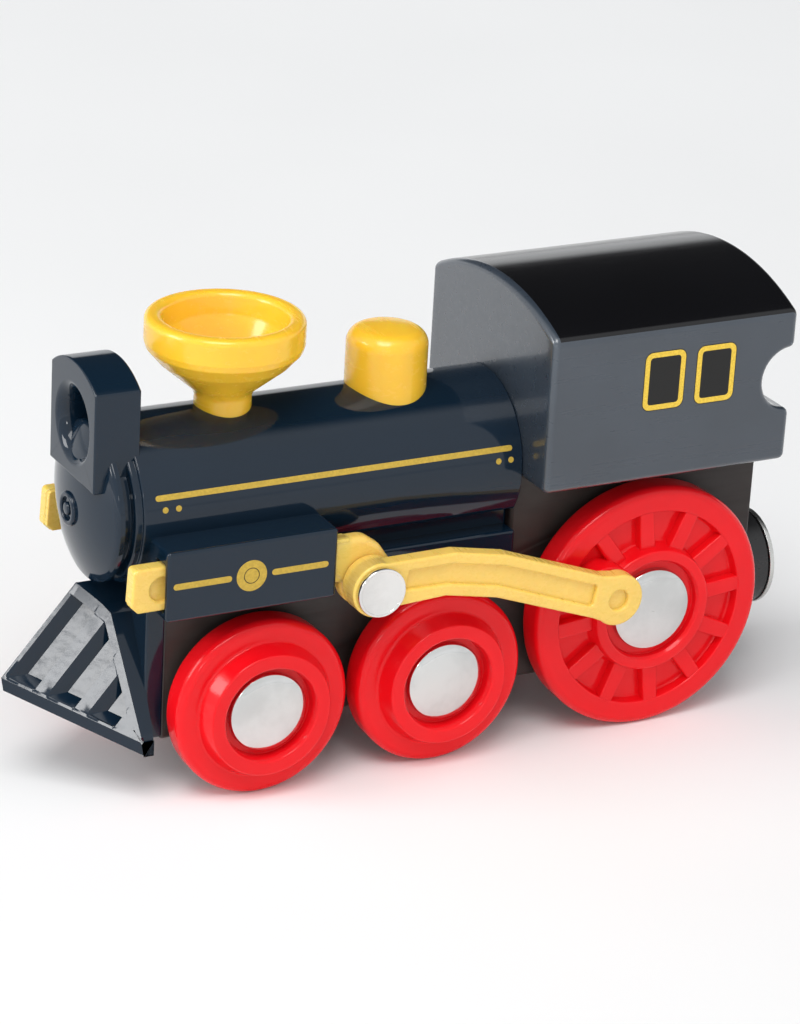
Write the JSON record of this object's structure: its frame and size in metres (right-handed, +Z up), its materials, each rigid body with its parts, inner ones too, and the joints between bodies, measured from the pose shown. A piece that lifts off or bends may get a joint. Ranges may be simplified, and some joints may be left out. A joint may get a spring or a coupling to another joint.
{
  "type": "toy steam locomotive",
  "caption": "Push-along toy steam locomotive: black wooden chassis and cab, navy boiler, yellow funnel, red wheels, sliding pistons with swinging rods and a magnetic rear coupling.",
  "frame": {"origin": "bottom centre of the bounding box, on the plane the wheels stand on", "axes": "+X towards the front of the locomotive (cowcatcher), +Y its left side, +Z up"},
  "size_m": [0.118, 0.0414, 0.0655],
  "materials": {
    "black_wood": "black stained, grain shows, low sheen",
    "slate_wood": "slate blue-grey lacquer, roof black gloss",
    "navy_plastic": "gloss dark navy moulding",
    "amber_plastic": "gloss amber yellow, slightly translucent",
    "yellow_plastic": "satin pale yellow",
    "red_plastic": "gloss red",
    "black_plastic": "satin black",
    "magnet_steel": "bare nickel-plated magnet",
    "axle_steel": "plain steel",
    "bright_steel": "bright domed steel"
  },
  "bodies": {
    "loco": {"chassis_block": "black_wood", "body_shell": "navy_plastic", "smokebox_door": "navy_plastic", "headlamp_box": "navy_plastic", "cowcatcher": "navy_plastic", "funnel": "amber_plastic", "steam_dome": "amber_plastic", "cab_block": "slate_wood", "magnet_housing": "black_plastic", "coupling_magnet": "magnet_steel", "magnet_rivet": "axle_steel"},
    "front_wheelset": {"front_axle": "axle_steel", "front_wheel_left": "red_plastic", "front_wheel_right": "red_plastic", "front_cap_left": "bright_steel", "front_cap_right": "bright_steel"},
    "middle_wheelset": {"middle_axle": "axle_steel", "middle_wheel_left": "red_plastic", "middle_wheel_right": "red_plastic", "middle_cap_left": "bright_steel", "middle_cap_right": "bright_steel"},
    "drive_wheelset": {"drive_axle": "axle_steel", "drive_wheel_left": "red_plastic", "drive_wheel_right": "red_plastic", "drive_cap_left": "bright_steel", "drive_cap_right": "bright_steel"},
    "left_piston": {"piston_left": "yellow_plastic", "crosshead_pin_left": "bright_steel"},
    "right_piston": {"piston_right": "yellow_plastic", "crosshead_pin_right": "bright_steel"},
    "left_rod": {"rod_left": "yellow_plastic"},
    "right_rod": {"rod_right": "yellow_plastic"}
  },
  "joints": [
    {"name": "front_wheels_spin", "type": "hinge", "parent": "loco", "child": "front_wheelset", "pos_m": [0.0269, 0, 0.0127], "axis": [0, 1, 0], "continuous": true},
    {"name": "middle_wheels_spin", "type": "hinge", "parent": "loco", "child": "middle_wheelset", "pos_m": [0, 0, 0.0127], "axis": [0, 1, 0], "continuous": true},
    {"name": "drive_wheels_spin", "type": "hinge", "parent": "loco", "child": "drive_wheelset", "pos_m": [-0.0329, 0, 0.0181], "axis": [0, 1, 0], "continuous": true},
    {"name": "left_piston_slide", "type": "slide", "parent": "loco", "child": "left_piston", "axis": [1, 0, 0], "range_m": [-0.01949, 0.00036]},
    {"name": "left_rod_swing", "type": "hinge", "parent": "left_piston", "child": "left_rod", "pos_m": [0.0131, 0.01855, 0.03], "axis": [0, 1, 0], "range_deg": [-22.5, 7.4]},
    {"name": "right_piston_slide", "type": "slide", "parent": "loco", "child": "right_piston", "axis": [1, 0, 0], "range_m": [-0.01949, 0.00036]},
    {"name": "right_rod_swing", "type": "hinge", "parent": "right_piston", "child": "right_rod", "pos_m": [0.0131, -0.01855, 0.03], "axis": [0, 1, 0], "range_deg": [-22.5, 7.4]}
  ],
  "couplings": [
    {"joint": "right_piston_slide", "follows": "left_piston_slide", "ratio": 1},
    {"joint": "right_rod_swing", "follows": "left_rod_swing", "ratio": 1}
  ]
}
